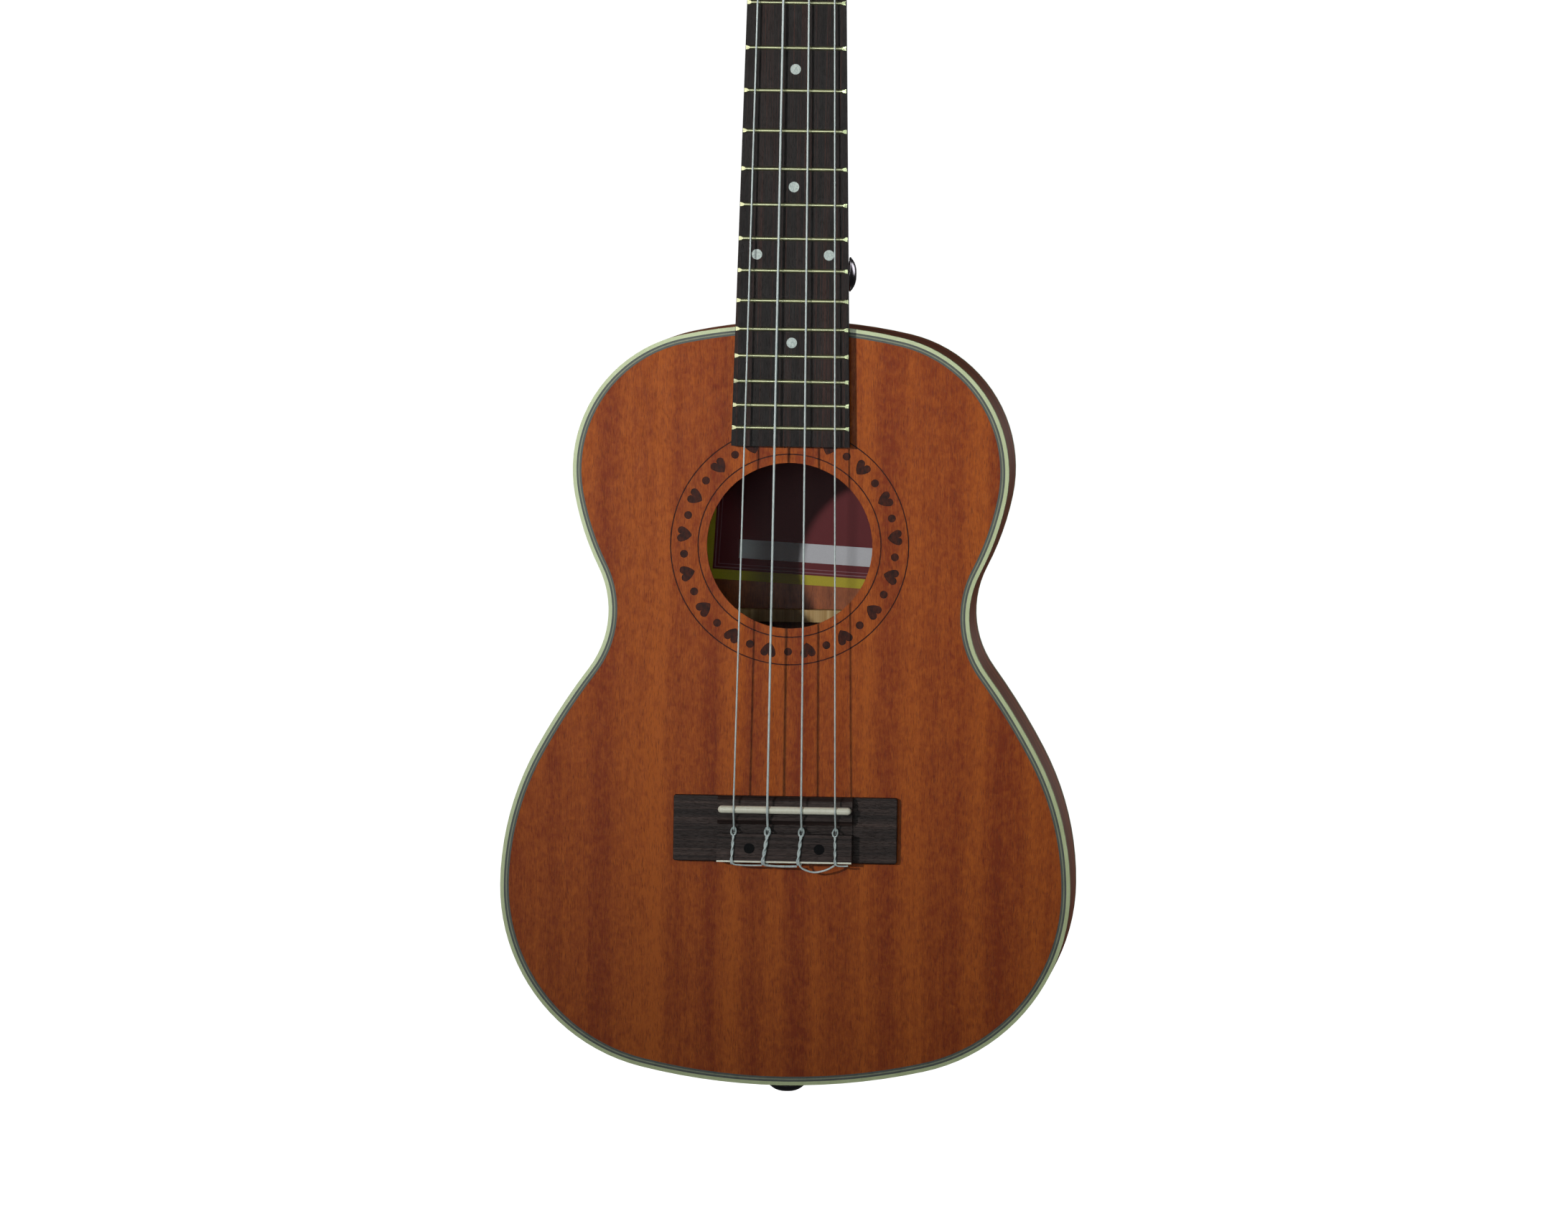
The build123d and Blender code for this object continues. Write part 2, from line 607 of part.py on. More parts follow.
def strap_button():
    """A low domed button on a short neck, standing on Z = 0."""
    edges = [
        Line((0, 0, 0), (4.6, 0, 0)),
        Line((4.6, 0, 0), (4.0, 0, 1.2)),
        ThreePointArc((4.0, 0, 1.2), (4.4, 0, 1.9), (BUTTON_RADIUS - 0.3, 0, 2.2)),
        ThreePointArc((BUTTON_RADIUS - 0.3, 0, 2.2), (BUTTON_RADIUS, 0, 2.5), (BUTTON_RADIUS - 0.25, 0, 2.9)),
        ThreePointArc((BUTTON_RADIUS - 0.25, 0, 2.9), (4.2, 0, 4.5), (0, 0, BUTTON_HEIGHT)),
        Line((0, 0, BUTTON_HEIGHT), (0, 0, 0)),
    ]
    seat = rod((0, 0, STRAP_SEAT), (0, 0, 9), 2.4) + rod((0, 0, -1), (0, 0, 9), 1.4)
    return revolve(make_face(edges), axis=Axis.Z) - seat


def strap_screw():
    head = rod((0, 0, STRAP_SEAT), (0, 0, STRAP_SEAT + 1.2), 2.4)
    slot = Pos(0, 0, STRAP_SEAT + 1.2) * (Box(3.4, 0.7, 1.2) + Box(0.7, 3.4, 1.2))
    return head - slot + rod((0, 0, -14), (0, 0, STRAP_SEAT), 1.4)


def button_places():
    tail = Plane(origin=(0, BODY_DEPTH / 2, TAIL_Z), z_dir=(0, 0, -1))
    heel = Plane(origin=HEEL_BUTTON, z_dir=(1, 0, 0))
    return [heel, tail]


# ---------------------------------------------------------------- assembly


def build_body():
    neck_block, tail_block = end_blocks()
    dowels = neck_dowels()
    tail_screw = button_places()[1] * strap_screw()
    bolts = [bolt(side) for side in (-1, 1)]
    ribs = body_ring(0, RIB_THICK, BINDING_DEPTH, EDGE_Y) - dowels - tail_screw
    halves = [ribs & block(x, (0, BACK_Y), (-600, -200)) for x in ((-130, 0), (0, 130))]
    lining = RIB_THICK + LINING_WIDTH
    front = body_ring(RIB_THICK, lining, PLATE_THICK, PLATE_THICK + LINING_DEPTH) - neck_block - tail_block
    back = body_ring(RIB_THICK, lining, INNER_BACK_Y - LINING_DEPTH, INNER_BACK_Y) - neck_block - tail_block
    plate_x, plate_z, plate_thick = BRIDGE_PLATE
    bridge_plate = block(plate_x, (PLATE_THICK, PLATE_THICK + plate_thick), plate_z) - bolts
    nuts = [bolt_nut(side, PLATE_THICK + plate_thick) for side in (-1, 1)]
    transverse, fans = soundboard_struts(bridge_plate)
    inside = slab(outline(lining + 0.5), 0, INNER_BACK_Y)
    ladder = [brace((-110, z), (110, z), *BACK_BRACE, INNER_BACK_Y, -1) & inside for z in BACK_BRACES]
    label = Pos(LABEL_CENTRE[0], INNER_BACK_Y - LABEL_SIZE[2] / 2, LABEL_CENTRE[1]) * Rot(0, -LABEL_TILT, 0)
    return {
        "soundboard": soundboard(),
        "back_plate": slab(outline(RIB_THICK), INNER_BACK_Y, BACK_Y),
        "bass_side": halves[0],
        "treble_side": halves[1],
        "neck_block": neck_block - dowels,
        "tail_block": tail_block - tail_screw,
        "soundboard_linings": front,
        "back_linings": back,
        "soundboard_binding": body_ring(0, RIB_THICK, 0, BINDING_DEPTH),
        "soundboard_purfling": purfling_lines(),
        "back_binding": body_ring(0, RIB_THICK, EDGE_Y, BACK_Y),
        "soundboard_braces": transverse,
        "fan_braces": fans,
        "back_braces": ladder,
        "bridge_plate": bridge_plate,
        "bridge_bolts": bolts,
        "bridge_bolt_nuts": nuts,
        "bridge_bolt_caps": [cap(side) for side in (-1, 1)],
        "soundhole_label": label * Box(LABEL_SIZE[0], LABEL_SIZE[2], LABEL_SIZE[1]),
        "bridge": bridge(),
        "saddle": saddle_blank(1.45),
        "tie_block_edging": edging_strip(),
    }


def build_neck_parts(frame):
    places = button_places()
    screws = [place * strap_screw() for place in places]
    spot_face = places[0] * shank(0, 0, 6, 5.0)
    neck, headstock = build_neck(frame)
    bores, plate_holes = [], []
    for name in TUNERS:
        place = post_place(name, frame)
        bores.append(sided(name, place * shank(0, -HEAD_THICK - 1, VENEER_THICK + 1, BUSHING_RADIUS)))
        plate_holes += [sided(name, place * plate_screw(v)) for v in SCREW_V]
    veneer = frame * extrude(head_outline(), amount=VENEER_THICK)
    veneer &= block((-40, 40), (-20, 60), (NUT_THICK, 200))
    frets = [fret_wire(fret_z(number)) for number in range(1, FRET_COUNT + 1)]
    blank = board_blank()
    dots = [dot & blank for dot in position_dots()]
    return {
        "neck": neck - neck_dowels() - spot_face - screws[0],
        "headstock": headstock - bores - plate_holes,
        "headstock_veneer": veneer - bores,
        "heel_cap": heel_cap(),
        "neck_dowels": neck_dowels(),
        "fretboard": blank - frets - dots,
        "frets": frets,
        "position_dots": dots,
        "nut": nut(frame),
        "strap_buttons": [place * strap_button() for place in places],
        "strap_button_screws": screws,
    }


def build_tuners(frame):
    nodes = {"tuner_plates": [], "tuner_bushings": [], "tuner_screws": []}
    for name in TUNERS:
        place = post_place(name, frame)
        nodes["tuner_plates"].append(sided(name, place * tuner_plate()))
        nodes["tuner_bushings"].append(sided(name, place * bushing()))
        nodes["tuner_screws"] += [sided(name, place * plate_screw(v)) for v in SCREW_V]
        moving = {
            "post": post(),
            "gear": [gear(), gear_screw()],
            "shaft": worm_shaft(),
            "button": tuner_button(),
            "winding": winding(STRINGS[name][1]),
        }
        for piece, shape in moving.items():
            shapes = shape if isinstance(shape, list) else [shape]
            nodes[f"tuner_{name}_{piece}"] = [sided(name, place * each) for each in shapes]
    return nodes


def main():
    frame = head_frame()
    nodes = build_body() | build_neck_parts(frame) | build_tuners(frame)
    for name in STRINGS:
        nodes[f"string_{name}"] = string_wire(name, frame)
    os.makedirs("parts", exist_ok=True)
    for name, shape in nodes.items():
        shapes = shape if isinstance(shape, list) else [shape]
        export_step(Compound([solid for each in shapes for solid in each.solids()]), f"parts/{name}.step")


main()
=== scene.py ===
import math

import bpy
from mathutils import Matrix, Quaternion, Vector


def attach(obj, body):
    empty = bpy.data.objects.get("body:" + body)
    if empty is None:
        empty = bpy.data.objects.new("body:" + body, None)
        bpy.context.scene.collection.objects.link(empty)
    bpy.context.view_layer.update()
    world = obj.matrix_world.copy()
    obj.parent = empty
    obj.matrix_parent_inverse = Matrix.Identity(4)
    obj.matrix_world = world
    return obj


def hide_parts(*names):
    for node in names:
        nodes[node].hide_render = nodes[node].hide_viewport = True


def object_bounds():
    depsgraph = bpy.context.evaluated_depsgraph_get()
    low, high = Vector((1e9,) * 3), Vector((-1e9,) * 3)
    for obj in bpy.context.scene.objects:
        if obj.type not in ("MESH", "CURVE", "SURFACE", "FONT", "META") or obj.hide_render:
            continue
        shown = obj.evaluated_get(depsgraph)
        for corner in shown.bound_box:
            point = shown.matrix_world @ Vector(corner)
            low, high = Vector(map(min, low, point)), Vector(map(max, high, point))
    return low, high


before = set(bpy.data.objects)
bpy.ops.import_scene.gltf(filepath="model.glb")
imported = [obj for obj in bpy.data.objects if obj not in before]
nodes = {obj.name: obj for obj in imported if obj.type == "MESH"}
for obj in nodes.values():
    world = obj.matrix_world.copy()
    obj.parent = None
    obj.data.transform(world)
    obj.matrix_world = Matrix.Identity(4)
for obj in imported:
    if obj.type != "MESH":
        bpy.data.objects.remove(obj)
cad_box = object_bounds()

MM = 0.001
scene = bpy.context.scene


# ---------------------------------------------------------------- materials

def srgb(*channels):
    """The linear colour of an sRGB one, given as 0 to 255."""
    def linear(c):
        c /= 255
        return c / 12.92 if c <= 0.04045 else ((c + 0.055) / 1.055) ** 2.4
    return (*[linear(c) for c in channels], 1.0)


class Finish:
    """One procedural material. Its places and sizes are millimetres of the row frame."""

    def __init__(self, name, **constants):
        self.material = bpy.data.materials.new(name)
        self.material.use_nodes = True
        tree = self.material.node_tree
        self.nodes, self.links = tree.nodes, tree.links
        self.shader = next(n for n in self.nodes if n.type == "BSDF_PRINCIPLED")
        for socket, value in constants.items():
            self.shader.inputs[socket.replace("_", " ")].default_value = value
        metres = self.node("ShaderNodeTexCoord").outputs["Object"]
        self.place = self.node("ShaderNodeVectorMath", {0: metres, "Scale": 1 / MM},
                               operation="SCALE").outputs["Vector"]
        parts = self.node("ShaderNodeSeparateXYZ", {"Vector": self.place}).outputs
        self.x, self.y, self.z = parts[0], parts[1], parts[2]

    def node(self, kind, feeds=None, **settings):
        made = self.nodes.new(kind)
        for key, value in settings.items():
            setattr(made, key, value)
        for key, value in (feeds or {}).items():
            self.feed(made.inputs[key], value)
        return made

    def feed(self, socket, value):
        if isinstance(value, bpy.types.NodeSocket):
            self.links.new(value, socket)
        else:
            socket.default_value = value

    def set(self, **sockets):
        """Feeds the shader's own sockets."""
        for socket, value in sockets.items():
            self.feed(self.shader.inputs[socket.replace("_", " ")], value)
        return self.material

    def calc(self, operation, a, b=0.0, c=0.0):
        return self.node("ShaderNodeMath", {0: a, 1: b, 2: c}, operation=operation).outputs[0]

    def vector(self, x, y, z):
        return self.node("ShaderNodeCombineXYZ", {0: x, 1: y, 2: z}).outputs[0]

    def remap(self, value, low, high, to_low=0.0, to_high=1.0, smooth=False):
        feeds = {0: value, 1: low, 2: high, 3: to_low, 4: to_high}
        kind = "SMOOTHSTEP" if smooth else "LINEAR"
        return self.node("ShaderNodeMapRange", feeds, interpolation_type=kind).outputs[0]

    def mix(self, factor, a, b, blend="MIX"):
        feeds = {0: factor, 6: a, 7: b}
        return self.node("ShaderNodeMix", feeds, data_type="RGBA", blend_type=blend).outputs[2]

    def ramp(self, value, stops, interpolation="EASE"):
        made = self.node("ShaderNodeValToRGB", {0: value})
        ramp = made.color_ramp
        ramp.interpolation = interpolation
        for number, (at, colour) in enumerate(stops):
            element = ramp.elements[number] if number < 2 else ramp.elements.new(at)
            element.position, element.color = at, colour
        return made.outputs[0]

    def noise(self, size, detail=2.0, rough=0.5, seed=0.0, warp=0.0, place=None):
        """Noise between about 0.3 and 0.7, its lumps that many millimetres along each axis."""
        feeds = {"Vector": place or self.place, "Location": (seed * 7.3, seed * 3.1, seed * 5.7),
                 "Scale": tuple(1 / s for s in size)}
        moved = self.node("ShaderNodeMapping", feeds).outputs[0]
        feeds = {"Vector": moved, "Scale": 1.0, "Detail": detail, "Roughness": rough,
                 "Distortion": warp}
        return self.node("ShaderNodeTexNoise", feeds).outputs[0]

    def bump(self, height, depth):
        """Relief from a height of 0 to 1 that stands for that many millimetres."""
        feeds = {"Height": height, "Distance": depth * MM, "Strength": 1.0}
        self.feed(self.shader.inputs["Normal"], self.node("ShaderNodeBump", feeds).outputs[0])

    def band(self, value, low, high, soft=0.05):
        """1 between low and high, 0 outside."""
        rise = self.remap(value, low - soft, low + soft)
        fall = self.remap(value, high - soft, high + soft, 1.0, 0.0)
        return self.calc("MULTIPLY", rise, fall)


def wood(finish, deep, light, place, ribbons=None, ribbon=11.0, fleck=1.0, pore=0.5):
    """Ribbon-striped wood: across, depth and along are x, y and z of place. Returns colour
    and height. Without ribbons, its broad stripes are noise that many millimetres wide."""
    wide = finish.noise((ribbon, 500, 700), 2, 0.5, 1, place=place)
    narrow = finish.noise((ribbon * 0.24, 300, 160), 3, 0.6, 2, place=place)
    cloud = finish.noise((30, 80, 70), 2, 0.5, 3, place=place)
    ripple = finish.noise((2.6, 5, 3.4), 3, 0.62, 4, 0.6, place=place)
    dash = finish.noise((0.42, 2, 2.6), 2, 0.5, 5, place=place)
    hair = finish.noise((0.16, 2, 9.0), 2, 0.5, 6, place=place)
    if ribbons is None:
        tone = finish.remap(wide, 0.32, 0.68, 0.1, 0.9, True)
    else:
        tone = finish.calc("MULTIPLY_ADD", finish.calc("SUBTRACT", wide, 0.5), 0.5, ribbons)
    for value, strength in ((narrow, 0.75), (cloud, 0.5), (ripple, 0.95 * fleck),
                            (dash, 0.6 * fleck), (hair, 0.35 * fleck)):
        tone = finish.calc("MULTIPLY_ADD", finish.calc("SUBTRACT", value, 0.5), strength, tone)
    middle = tuple((a + b) / 2 for a, b in zip(deep, light))
    colour = finish.ramp(tone, [(0.0, deep), (1.0, light), (0.52, middle)], "LINEAR")
    pores = finish.noise((0.2, 1.4, 3.2), 1, 0.5, 7, place=place)
    pores = finish.remap(pores, 0.6, 0.68, 0.0, pore)
    colour = finish.mix(pores, colour, tuple(c * 0.35 for c in deep[:3]) + (1.0,))
    height = finish.calc("SUBTRACT", finish.calc("MULTIPLY", dash, 0.4), pores)
    return colour, height


# Across the board: millimetres from the centre line, and how light the wood is there.
TOP_RIBBONS = [
    (-114, 0.35), (-100, 0.62), (-94, 0.38), (-84, 0.74), (-76, 0.20), (-64, 0.66), (-52, 0.92),
    (-47, 0.42), (-38, 0.62), (-30, 0.24), (-20, 0.85), (-12, 0.16), (-3, 0.74), (6, 0.16),
    (12, 0.52), (22, 0.44), (32, 0.80), (40, 0.22), (50, 0.72), (60, 0.42), (68, 0.30),
    (77, 0.74), (85, 0.24), (98, 0.72), (110, 0.45),
]
HALF_TOP = 116.0                    # half of the width that the ribbons' ramp spans
HOLE = (0.0, 0.0, -326.8)
ROSETTE_RADII = (34.6, 50.0)
ENGRAVED_DEPTHS = (0.06, 0.7)       # the engraving's floors lie between these depths
INSIDE_FACE = (1.0, 2.0)            # bare wood takes over from lacquered between these


def soundboard_finish():
    """Mahogany with its ribbons at set places, scorched where the rosette is engraved."""
    finish = Finish("figured_mahogany_top", Specular_IOR_Level=0.15)
    sway = finish.noise((60, 400, 150), 1, 0.5, 9)
    sway = finish.calc("MULTIPLY", finish.calc("SUBTRACT", sway, 0.5), 9.0)
    across = finish.calc("ADD", finish.x, sway)
    stops = [((x + HALF_TOP) / (2 * HALF_TOP), (tone, tone, tone, 1.0)) for x, tone in TOP_RIBBONS]
    ribbons = finish.ramp(finish.remap(across, -HALF_TOP, HALF_TOP), stops)
    place = finish.vector(across, finish.y, finish.z)
    colour, height = wood(finish, srgb(140, 52, 8), srgb(190, 94, 24), place, ribbons, fleck=1.5)
    radius = finish.node("ShaderNodeVectorMath", {0: finish.vector(finish.x, 0.0, finish.z),
                                                  1: HOLE}, operation="DISTANCE").outputs[1]
    burnt = finish.calc("MULTIPLY", finish.band(finish.y, *ENGRAVED_DEPTHS, 0.03),
                        finish.band(radius, *ROSETTE_RADII))
    scorch = finish.noise((1.3, 1.3, 2.2), 3, 0.6, 11)
    burn = finish.mix(finish.remap(scorch, 0.35, 0.65), srgb(40, 10, 4), srgb(76, 26, 8))
    colour = finish.mix(burnt, colour, burn)
    inside = finish.remap(finish.y, *INSIDE_FACE)
    colour = finish.mix(inside, colour, srgb(140, 80, 44))
    finish.bump(height, 0.03)
    gloss = finish.noise((3, 3, 9), 3, 0.6, 12)
    return finish.set(Base_Color=colour, Roughness=finish.remap(gloss, 0.3, 0.7, 0.34, 0.46))


def board_wood(name, deep, light, grain="z", seed=0, pore=0.5, ribbon=11.0, fleck=1.0, **constants):
    """Lacquered or bare wood whose grain runs along that axis of the row frame."""
    finish = Finish(name, **constants)
    order = {"z": (finish.x, finish.y, finish.z), "x": (finish.z, finish.y, finish.x),
             "y": (finish.x, finish.z, finish.y)}[grain]
    place = finish.vector(finish.calc("ADD", order[0], seed * 61.0), order[1], order[2])
    colour, height = wood(finish, deep, light, place, None, ribbon, fleck, pore)
    finish.bump(height, 0.03)
    gloss = finish.noise((3, 3, 9), 3, 0.6, 12)
    low = constants.get("Roughness", 0.4)
    return finish.set(Base_Color=colour,
                      Roughness=finish.remap(gloss, 0.3, 0.7, low - 0.06, low + 0.06))


BODY_MIDDLE_Z = -405.0


def round_body(finish):
    """The angle round the body's middle, seen from the front."""
    return finish.calc("ARCTAN2", finish.x, finish.calc("ADD", finish.z, -BODY_MIDDLE_Z))


def bent_side(name, deep, light):
    """Side wood, its grain running round the body."""
    finish = Finish(name, Specular_IOR_Level=0.2)
    along = finish.calc("MULTIPLY", round_body(finish), 130.0)
    place = finish.vector(finish.y, finish.x, along)
    colour, height = wood(finish, deep, light, place, None, 9.0)
    finish.bump(height, 0.03)
    return finish.set(Base_Color=colour, Roughness=0.42)


def rosewood(name, grain, deep, light, streak):
    """Dark wood with darker and redder streaks along its grain, and open pores."""
    finish = Finish(name, Specular_IOR_Level=0.22)
    order = {"z": (finish.x, finish.y, finish.z), "x": (finish.z, finish.y, finish.x)}[grain]
    place = finish.vector(*order)
    bands = finish.noise((2.6, 60, 240), 3, 0.65, 21, 0.3, place)
    lines = finish.noise((0.45, 8, 60), 3, 0.6, 22, place=place)
    pores = finish.remap(finish.noise((0.16, 1.2, 2.6), 1, 0.5, 23, place=place), 0.58, 0.66)
    tone = finish.calc("MULTIPLY_ADD", finish.calc("SUBTRACT", lines, 0.5), 0.8, bands)
    colour = finish.ramp(tone, [(0.30, deep), (0.70, streak), (0.52, light)], "LINEAR")
    colour = finish.mix(finish.calc("MULTIPLY", pores, 0.55), colour, srgb(14, 10, 10))
    finish.bump(finish.calc("SUBTRACT", finish.calc("MULTIPLY", lines, 0.5), pores), 0.04)
    gloss = finish.noise((5, 5, 12), 3, 0.6, 24)
    return finish.set(Base_Color=colour, Roughness=finish.remap(gloss, 0.3, 0.7, 0.42, 0.56))


def moulded(name, colour, shade, rough, size=2.0, relief=0.01, **constants):
    """Plastic, bone or lacquer: a soft mottle of two near colours under a faint relief."""
    finish = Finish(name, **constants)
    mottle = finish.noise((size, size, size * 2.5), 3, 0.6, 31)
    fine = finish.noise((0.35, 0.35, 0.9), 2, 0.6, 32)
    tone = finish.calc("MULTIPLY_ADD", finish.calc("SUBTRACT", fine, 0.5), 0.5, mottle)
    finish.bump(fine, relief)
    return finish.set(Base_Color=finish.mix(finish.remap(tone, 0.3, 0.7), shade, colour),
                      Roughness=finish.remap(mottle, 0.3, 0.7, rough * 0.85, rough * 1.15))


def metal(name, colour, shade, rough, brushed=(0.3, 0.3, 6.0)):
    """Plated metal with fine brushing and a few duller patches."""
    finish = Finish(name, Metallic=1.0)
    scratch = finish.noise(brushed, 3, 0.7, 41)
    patch = finish.noise((6, 6, 6), 3, 0.6, 42)
    finish.bump(scratch, 0.004)
    tone = finish.calc("ADD", finish.calc("MULTIPLY", scratch, 0.4),
                       finish.calc("MULTIPLY", patch, 0.6))
    return finish.set(Base_Color=finish.mix(finish.remap(tone, 0.35, 0.65), shade, colour),
                      Roughness=finish.remap(tone, 0.35, 0.65, rough * 1.5, rough * 0.8))


def pearl(name, colours, size):
    """Mother-of-pearl or pearloid plastic: folded clouds of pale colours."""
    finish = Finish(name, Coat_Weight=0.5, Coat_Roughness=0.1, Roughness=0.22)
    fold = finish.noise((size, size, size), 4, 0.6, 51, 1.8)
    colour = finish.ramp(fold, [(0.34, colours[0]), (0.66, colours[2]), (0.5, colours[1])], "LINEAR")
    finish.bump(fold, 0.01)
    return finish.set(Base_Color=colour)


LABEL_CENTRE = (0.0, -317.2)
LABEL_HALF = (38.0, 28.0)
LABEL_TILT = math.radians(-3.0)
LABEL_BORDER = (3.9, 4.1)                       # the yellow ends between these, from the edge
LABEL_LINES = ((4.7, 5.2), (6.2, 6.5))
LABEL_STRIP = ((-23.6, 60.0), (-18.9, -11.2))   # along and across the label


def label_finish():
    """A maroon paper with a yellow border, thin lines inside it and a blank pale strip."""
    finish = Finish("label_paper", Specular_IOR_Level=0.25)
    dx = finish.calc("SUBTRACT", finish.x, LABEL_CENTRE[0])
    dz = finish.calc("SUBTRACT", finish.z, LABEL_CENTRE[1])
    cos, sin = math.cos(LABEL_TILT), math.sin(LABEL_TILT)
    u = finish.calc("ADD", finish.calc("MULTIPLY", dx, cos), finish.calc("MULTIPLY", dz, sin))
    v = finish.calc("SUBTRACT", finish.calc("MULTIPLY", dz, cos), finish.calc("MULTIPLY", dx, sin))
    gaps = [finish.calc("SUBTRACT", half, finish.calc("ABSOLUTE", at))
            for half, at in zip(LABEL_HALF, (u, v))]
    to_edge = finish.calc("MINIMUM", *gaps)
    paper = finish.noise((0.5, 0.5, 0.5), 2, 0.6, 61)
    maroon = finish.mix(paper, srgb(92, 16, 24), srgb(108, 22, 32))
    yellow = finish.mix(paper, srgb(176, 164, 30), srgb(200, 184, 46))
    ornament = finish.mix(paper, srgb(128, 84, 96), srgb(150, 106, 112))
    colour = finish.mix(finish.remap(to_edge, *LABEL_BORDER), yellow, maroon)
    for low, high in LABEL_LINES:
        colour = finish.mix(finish.band(to_edge, low, high), colour, ornament)
    strip = finish.calc("MULTIPLY", finish.band(v, *LABEL_STRIP[1]), finish.band(u, *LABEL_STRIP[0]))
    colour = finish.mix(strip, colour, finish.mix(paper, srgb(196, 198, 206), srgb(212, 214, 222)))
    finish.bump(paper, 0.01)
    return finish.set(Base_Color=colour, Roughness=0.5)


def spruce_finish():
    """Bare spruce with growth rings across its faces."""
    finish = Finish("spruce", Specular_IOR_Level=0.3)
    rings = finish.noise((1.6, 1.6, 300), 3, 0.6, 71)
    colour = finish.ramp(rings, [(0.38, srgb(188, 150, 92)), (0.62, srgb(222, 192, 138))], "LINEAR")
    finish.bump(rings, 0.05)
    return finish.set(Base_Color=colour, Roughness=0.62)


def lining_finish():
    """Spruce strips cut half through by saw kerfs; each kerf is a bumped groove with painted shade in
    it, so it shows as a dark slot round the body.
    """
    finish = Finish("kerfed_spruce", Specular_IOR_Level=0.3)
    step = finish.calc("FRACT", finish.calc("MULTIPLY", round_body(finish), 24.0))
    kerf = finish.band(step, 0.42, 0.58, 0.03)
    rings = finish.noise((1.6, 1.6, 1.6), 3, 0.6, 72)
    colour = finish.mix(rings, srgb(180, 140, 88), srgb(216, 184, 130))
    finish.bump(finish.calc("SUBTRACT", 1.0, kerf), 0.5)
    # The dark brown in each kerf is painted shade, standing in for the shadow inside the saw cut.
    return finish.set(Base_Color=finish.mix(kerf, colour, srgb(60, 40, 24)), Roughness=0.65)


MAHOGANY = (srgb(112, 50, 20), srgb(166, 88, 40))
LACQUER = {"Coat_Weight": 0.35, "Coat_Roughness": 0.2}
finishes = {
    "top": soundboard_finish(),
    "back": board_wood("figured_mahogany_back", *MAHOGANY, seed=3, Roughness=0.42,
                       Specular_IOR_Level=0.3),
    "side": bent_side("figured_mahogany_side", *MAHOGANY),
    "neck": board_wood("neck_mahogany", srgb(110, 56, 32), srgb(160, 92, 54), seed=5, ribbon=16.0,
                       Roughness=0.36, **LACQUER),
    "block": board_wood("block_mahogany", srgb(120, 70, 44), srgb(168, 110, 72), "x", 7,
                        Roughness=0.6),
    "fretboard": rosewood("rosewood_fretboard", "z", srgb(17, 13, 14), srgb(30, 22, 22),
                          srgb(62, 34, 28)),
    "bridge": rosewood("rosewood_bridge", "x", srgb(34, 26, 25), srgb(56, 44, 42),
                       srgb(80, 64, 60)),
    "veneer": rosewood("rosewood_headstock", "z", srgb(24, 17, 18), srgb(42, 30, 28),
                       srgb(76, 46, 38)),
    "binding": moulded("cream_binding", srgb(214, 226, 176), srgb(202, 214, 162), 0.3, 6.0, 0.006,
                       Coat_Weight=0.4, Coat_Roughness=0.15),
    "black_line": moulded("purfling_black", srgb(84, 90, 84), srgb(68, 74, 70), 0.4, 3.0),
    "white_line": moulded("purfling_white", srgb(146, 152, 128), srgb(126, 134, 112), 0.4, 3.0),
    "bone": moulded("bone", srgb(252, 252, 236), srgb(244, 242, 222), 0.32, 1.2, 0.004,
                    Coat_Weight=0.2, Coat_Roughness=0.2),
    "nylon": moulded("nylon", srgb(224, 236, 236), srgb(196, 212, 214), 0.3, 1.0, 0.004,
                     Coat_Weight=0.3, Coat_Roughness=0.15),
    "black": moulded("black_plastic", srgb(8, 8, 12), srgb(4, 4, 6), 0.6, 1.5,
                     Specular_IOR_Level=0.1),
    "fret": metal("fret_nickel", srgb(214, 216, 176), srgb(196, 198, 158), 0.30, (6.0, 0.6, 0.6)),
    "chrome": metal("chrome", srgb(206, 208, 212), srgb(170, 172, 178), 0.11),
    "smoke": metal("smoked_chrome", srgb(112, 106, 112), srgb(88, 84, 88), 0.16),
    "steel": metal("steel", srgb(176, 176, 178), srgb(132, 132, 136), 0.26, (0.3, 3.0, 0.3)),
    "brass": metal("gear_brass", srgb(214, 176, 96), srgb(170, 128, 60), 0.24),
    "dot": pearl("pearl", (srgb(146, 162, 158), srgb(176, 190, 186), srgb(200, 210, 204)), 1.3),
    "button": pearl("button_pearl", (srgb(196, 192, 180), srgb(226, 222, 210), srgb(242, 240, 232)),
                    4.0),
    "label": label_finish(),
    "spruce": spruce_finish(),
    "lining": lining_finish(),
}

NODE_FINISH = {
    "top": ["soundboard"],
    "back": ["back_plate"],
    "side": ["bass_side", "treble_side"],
    "block": ["neck_block", "tail_block", "bridge_plate"],
    "lining": ["soundboard_linings", "back_linings"],
    "binding": ["soundboard_binding", "back_binding"],
    "spruce": ["soundboard_braces", "fan_braces", "back_braces"],
    "steel": ["bridge_bolts", "bridge_bolt_nuts", "strap_button_screws", "tuner_screws"],
    "black": ["bridge_bolt_caps"],
    "label": ["soundhole_label"],
    "bridge": ["bridge"],
    "bone": ["saddle", "tie_block_edging", "nut"],
    "neck": ["neck", "headstock", "neck_dowels"],
    "veneer": ["headstock_veneer", "heel_cap"],
    "fretboard": ["fretboard"],
    "fret": ["frets"],
    "dot": ["position_dots"],
    "chrome": ["tuner_plates", "tuner_bushings"],
    "smoke": ["strap_buttons"],
}
TUNER_FINISH = {"post": "chrome", "gear": "brass", "shaft": "steel", "button": "button",
                "winding": "nylon"}


def dress(mesh, finish):
    mesh.materials.clear()
    mesh.materials.append(finishes[finish])


